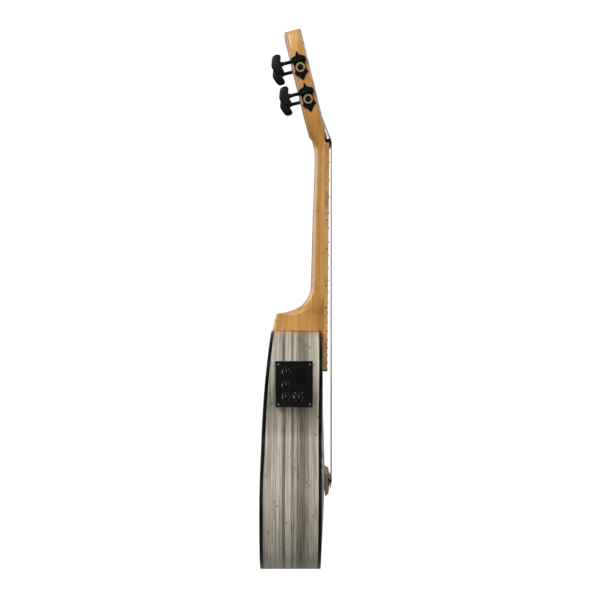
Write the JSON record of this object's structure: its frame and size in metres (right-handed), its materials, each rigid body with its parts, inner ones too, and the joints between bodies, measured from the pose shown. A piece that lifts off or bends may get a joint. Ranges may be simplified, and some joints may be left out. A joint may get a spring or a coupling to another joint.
{
  "type": "concert ukulele",
  "caption": "Concert ukulele with a hollow bamboo body, slotted head with open-gear tuners and a preamp in its side.",
  "frame": {"origin": "on the tail's lowest point, at the middle of the body's width and depth", "axes": "+Z from the tail up along the neck, -Y is the direction the soundboard faces, +X is the treble side"},
  "size_m": [0.2096, 0.0806, 0.604],
  "materials": {
    "bamboo_side": "satin, grey-stained strips",
    "bamboo_neck": "satin",
    "fretboard_wood": "satin",
    "bridge_wood": "satin",
    "inner_wood": "raw",
    "veneer": "satin, grey-stained",
    "binding": "polished black",
    "black_plastic": "black",
    "black_metal": "black plated",
    "bronze": "antique bronze",
    "nickel": "nickel",
    "string": "grey nylon",
    "display": "dark window"
  },
  "bodies": {
    "instrument": {"soundboard": "bamboo_side", "back_plate": "bamboo_side", "bass_side": "bamboo_side", "treble_side": "bamboo_side", "front_binding": "binding", "back_binding": "binding", "front_lining_treble": "inner_wood", "front_lining_bass": "inner_wood", "back_lining_treble": "inner_wood", "back_lining_bass": "inner_wood", "top_brace_upper": "inner_wood", "top_brace_lower": "inner_wood", "bridge_plate": "inner_wood", "back_brace_upper": "inner_wood", "back_brace_lower": "inner_wood", "neck_block": "inner_wood", "tail_block": "inner_wood", "output_jack": "nickel", "preamp_panel": "black_plastic", "display_window": "display", "preamp_housing": "black_plastic", "battery": "nickel", "neck": "bamboo_neck", "headplate": "veneer", "fretboard": "fretboard_wood", "fret_set": "nickel", "nut": "binding", "bridge": "bridge_wood", "saddle": "binding", "piezo_pickup": "nickel", "string_1": "string", "string_2": "string", "string_3": "string", "string_4": "string", "tuner_plate_bass_lower": "black_metal", "tuner_plate_bass_upper": "black_metal", "tuner_plate_treble_lower": "black_metal", "tuner_plate_treble_upper": "black_metal"},
    "tuner_key_bass_lower": {"worm_shaft_bass_lower": "black_metal", "tuner_button_bass_lower": "black_plastic"},
    "tuner_roller_bass_lower": {"tuner_gear_bass_lower": "bronze", "string_roller_bass_lower": "black_metal"},
    "tuner_key_bass_upper": {"worm_shaft_bass_upper": "black_metal", "tuner_button_bass_upper": "black_plastic"},
    "tuner_roller_bass_upper": {"tuner_gear_bass_upper": "bronze", "string_roller_bass_upper": "black_metal"},
    "tuner_key_treble_lower": {"worm_shaft_treble_lower": "black_metal", "tuner_button_treble_lower": "black_plastic"},
    "tuner_roller_treble_lower": {"tuner_gear_treble_lower": "bronze", "string_roller_treble_lower": "black_metal"},
    "tuner_key_treble_upper": {"worm_shaft_treble_upper": "black_metal", "tuner_button_treble_upper": "black_plastic"},
    "tuner_roller_treble_upper": {"tuner_gear_treble_upper": "bronze", "string_roller_treble_upper": "black_metal"},
    "knob_1_body": {"knob_1": "black_plastic"},
    "knob_2_body": {"knob_2": "black_plastic"},
    "knob_3_body": {"knob_3": "black_plastic"},
    "volume_knob_body": {"volume_knob": "black_plastic"},
    "left_button_body": {"left_button": "black_plastic"},
    "right_button_body": {"right_button": "black_plastic"}
  },
  "joints": [
    {"name": "turn_key_bass_lower", "type": "hinge", "parent": "instrument", "child": "tuner_key_bass_lower", "pos_m": [-0.0323, -0.01113, 0.53174], "axis": [0, 0.9711, -0.2385], "continuous": true},
    {"name": "turn_roller_bass_lower", "type": "hinge", "parent": "instrument", "child": "tuner_roller_bass_lower", "pos_m": [-0.028, -0.01304, 0.52397], "axis": [1, 0, 0], "continuous": true},
    {"name": "turn_key_bass_upper", "type": "hinge", "parent": "instrument", "child": "tuner_key_bass_upper", "pos_m": [-0.0323, -0.00247, 0.567], "axis": [0, 0.9711, -0.2385], "continuous": true},
    {"name": "turn_roller_bass_upper", "type": "hinge", "parent": "instrument", "child": "tuner_roller_bass_upper", "pos_m": [-0.028, -0.00438, 0.55923], "axis": [1, 0, 0], "continuous": true},
    {"name": "turn_key_treble_lower", "type": "hinge", "parent": "instrument", "child": "tuner_key_treble_lower", "pos_m": [0.0323, -0.01113, 0.53174], "axis": [0, 0.9711, -0.2385], "continuous": true},
    {"name": "turn_roller_treble_lower", "type": "hinge", "parent": "instrument", "child": "tuner_roller_treble_lower", "pos_m": [0.028, -0.01304, 0.52397], "axis": [1, 0, 0], "continuous": true},
    {"name": "turn_key_treble_upper", "type": "hinge", "parent": "instrument", "child": "tuner_key_treble_upper", "pos_m": [0.0323, -0.00247, 0.567], "axis": [0, 0.9711, -0.2385], "continuous": true},
    {"name": "turn_roller_treble_upper", "type": "hinge", "parent": "instrument", "child": "tuner_roller_treble_upper", "pos_m": [0.028, -0.00438, 0.55923], "axis": [1, 0, 0], "continuous": true},
    {"name": "turn_knob_1", "type": "hinge", "parent": "instrument", "child": "knob_1_body", "pos_m": [-0.0806, 0.0108, 0.2242], "axis": [-1, 0, 0], "range_deg": [-140, 140]},
    {"name": "turn_knob_2", "type": "hinge", "parent": "instrument", "child": "knob_2_body", "pos_m": [-0.0806, 0.0108, 0.2098], "axis": [-1, 0, 0], "range_deg": [-140, 140]},
    {"name": "turn_knob_3", "type": "hinge", "parent": "instrument", "child": "knob_3_body", "pos_m": [-0.0806, 0.0112, 0.1969], "axis": [-1, 0, 0], "range_deg": [-140, 140]},
    {"name": "turn_volume_knob", "type": "hinge", "parent": "instrument", "child": "volume_knob_body", "pos_m": [-0.0806, -0.0028, 0.1962], "axis": [-1, 0, 0], "range_deg": [-140, 140]},
    {"name": "press_left_button", "type": "slide", "parent": "instrument", "child": "left_button_body", "axis": [1, 0, 0], "range_m": [0, 0.0006], "stiffness_N_per_m": 300},
    {"name": "press_right_button", "type": "slide", "parent": "instrument", "child": "right_button_body", "axis": [1, 0, 0], "range_m": [0, 0.0006], "stiffness_N_per_m": 300}
  ],
  "couplings": [
    {"joint": "turn_roller_bass_lower", "follows": "turn_key_bass_lower", "ratio": -0.071429},
    {"joint": "turn_roller_bass_upper", "follows": "turn_key_bass_upper", "ratio": -0.071429},
    {"joint": "turn_roller_treble_lower", "follows": "turn_key_treble_lower", "ratio": 0.071429},
    {"joint": "turn_roller_treble_upper", "follows": "turn_key_treble_upper", "ratio": 0.071429}
  ]
}
